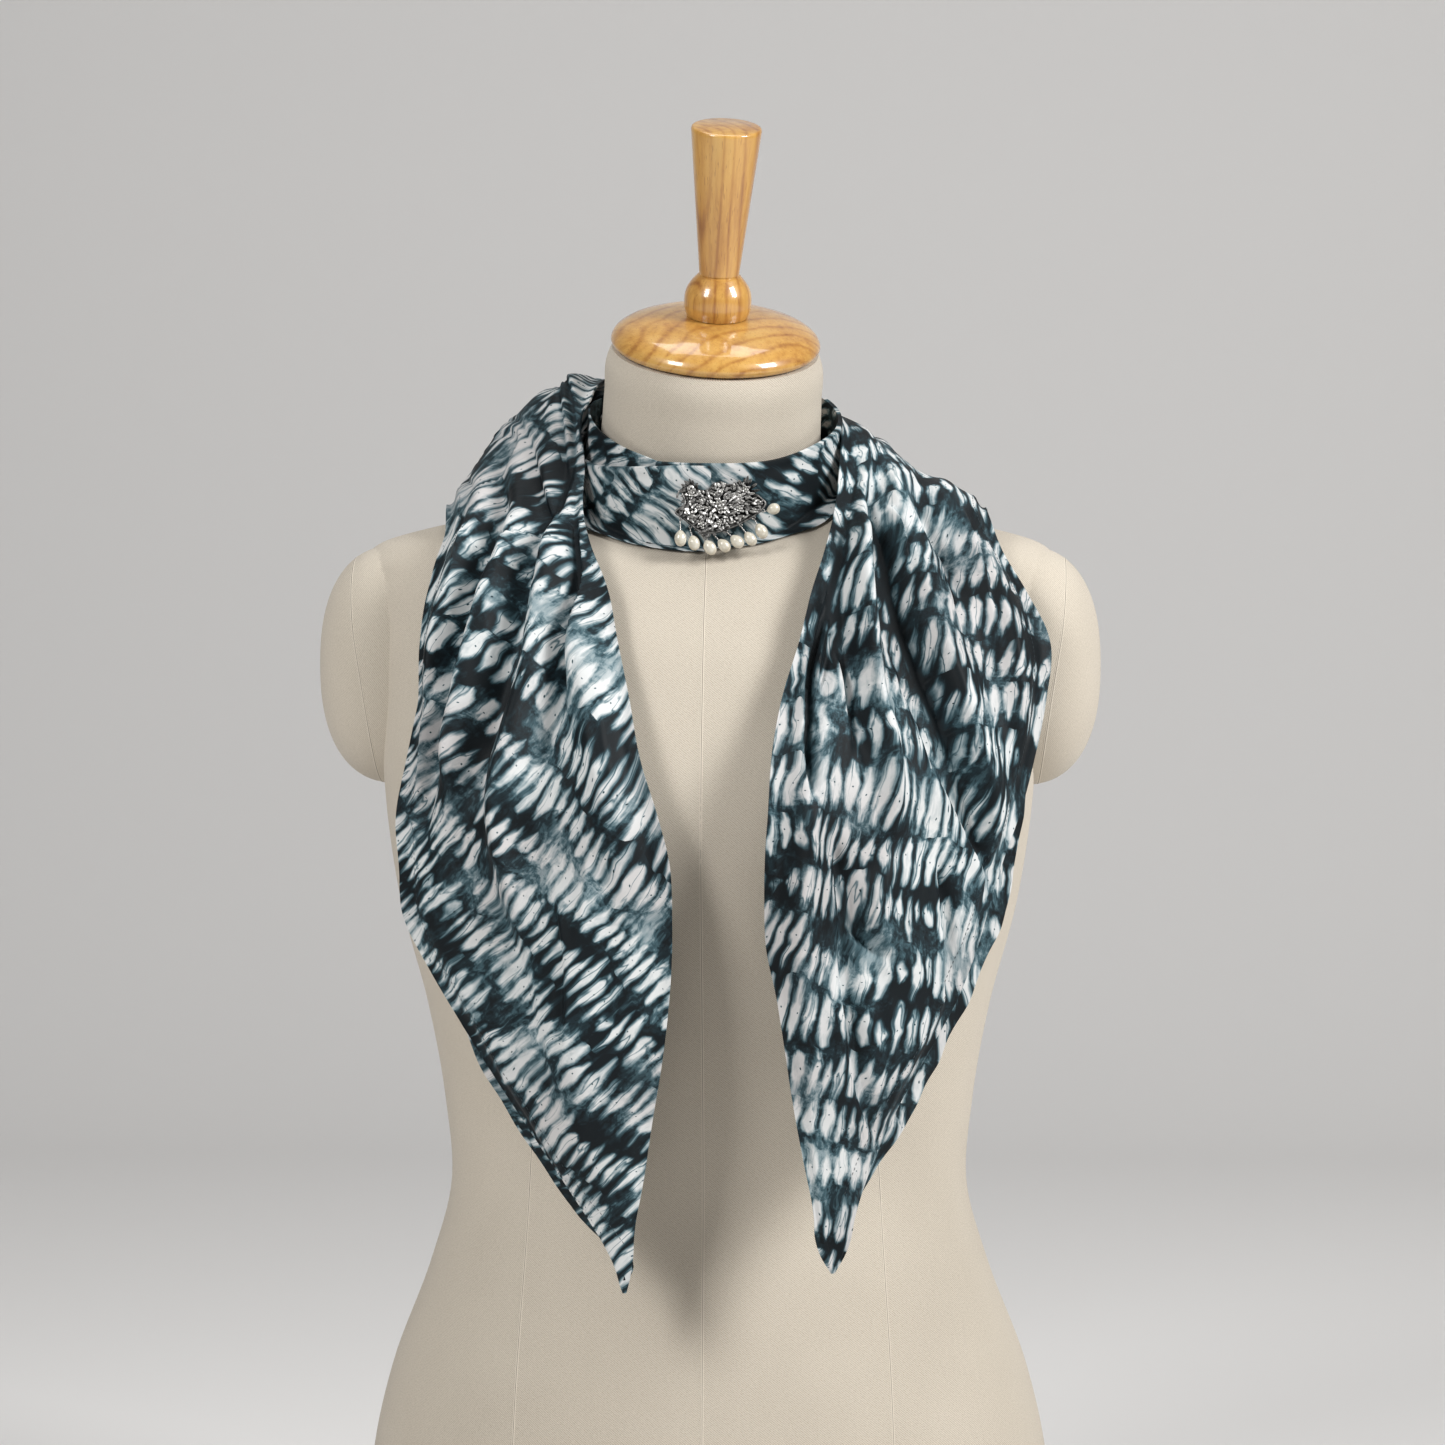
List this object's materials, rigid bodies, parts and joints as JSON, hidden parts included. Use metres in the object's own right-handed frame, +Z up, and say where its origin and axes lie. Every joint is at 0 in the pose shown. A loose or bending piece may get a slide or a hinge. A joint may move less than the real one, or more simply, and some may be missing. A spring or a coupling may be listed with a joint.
{
  "type": "tie-dyed neck scarf on dress form",
  "caption": "Tie-dyed cotton neck scarf with a lapped band, draped back and pointed tails, pinned by a silver brooch with swinging pearl drops, on a limbless dress form",
  "frame": {"origin": "Middle of the underside of the base board that the dress form stands on", "axes": "+Z is up, the form's front faces -Y, +X is the wearer's left (the viewer's right)"},
  "size_m": [0.412, 0.3106, 0.8155],
  "materials": {
    "linen_cover": "cream linen canvas stretched over the form, matt, seamed",
    "varnished_wood": "light streaky wood under a glossy varnish",
    "tie_dyed_cotton": "fine soft cotton, stitch-resist dyed dark teal and slate with white petal marks",
    "oxidised_silver": "cast silver-coloured metal, bright relief, dark oxidised recesses",
    "cream_pearl": "cream pearl with a soft lustre on a twisted silver-coloured wire"
  },
  "bodies": {
    "form_and_scarf": {"torso_form": "linen_cover", "base_board": "varnished_wood", "neck_cap": "varnished_wood", "cap_finial": "varnished_wood", "neckband": "tie_dyed_cotton", "inner_ply": "tie_dyed_cotton", "right_tail": "tie_dyed_cotton", "back_drape": "tie_dyed_cotton", "left_tail": "tie_dyed_cotton", "right_tail_under_layer": "tie_dyed_cotton", "left_tail_under_layer": "tie_dyed_cotton", "brooch_plate": "oxidised_silver"},
    "drop_1": {"pearl_drop_1": "cream_pearl"},
    "drop_2": {"pearl_drop_2": "cream_pearl"},
    "drop_3": {"pearl_drop_3": "cream_pearl"},
    "drop_4": {"pearl_drop_4": "cream_pearl"},
    "drop_5": {"pearl_drop_5": "cream_pearl"},
    "drop_6": {"pearl_drop_6": "cream_pearl"},
    "drop_7": {"pearl_drop_7": "cream_pearl"},
    "drop_8": {"pearl_drop_8": "cream_pearl"}
  },
  "joints": [
    {"name": "drop_1_swing", "type": "hinge", "parent": "form_and_scarf", "child": "drop_1", "pos_m": [-0.01255, -0.05933, 0.60868], "axis": [-0.9925, -0.1219, 0], "range_deg": [0, 75]},
    {"name": "drop_2_swing", "type": "hinge", "parent": "form_and_scarf", "child": "drop_2", "pos_m": [-0.00761, -0.05951, 0.60451], "axis": [-0.9925, -0.1219, 0], "range_deg": [0, 75]},
    {"name": "drop_3_swing", "type": "hinge", "parent": "form_and_scarf", "child": "drop_3", "pos_m": [-0.00132, -0.05946, 0.60064], "axis": [-0.9925, -0.1219, 0], "range_deg": [0, 75]},
    {"name": "drop_4_swing", "type": "hinge", "parent": "form_and_scarf", "child": "drop_4", "pos_m": [0.00488, -0.0587, 0.60059], "axis": [-0.9925, -0.1219, 0], "range_deg": [0, 75]},
    {"name": "drop_5_swing", "type": "hinge", "parent": "form_and_scarf", "child": "drop_5", "pos_m": [0.01137, -0.0576, 0.60225], "axis": [-0.9925, -0.1219, 0], "range_deg": [0, 75]},
    {"name": "drop_6_swing", "type": "hinge", "parent": "form_and_scarf", "child": "drop_6", "pos_m": [0.01851, -0.05618, 0.60518], "axis": [-0.9925, -0.1219, 0], "range_deg": [0, 75]},
    {"name": "drop_7_swing", "type": "hinge", "parent": "form_and_scarf", "child": "drop_7", "pos_m": [0.02533, -0.05465, 0.60884], "axis": [-0.9925, -0.1219, 0], "range_deg": [0, 75]},
    {"name": "drop_8_swing", "type": "hinge", "parent": "form_and_scarf", "child": "drop_8", "pos_m": [0.03032, -0.05333, 0.61266], "axis": [0.2823, 0.0347, -0.9587], "range_deg": [0, 75]}
  ]
}
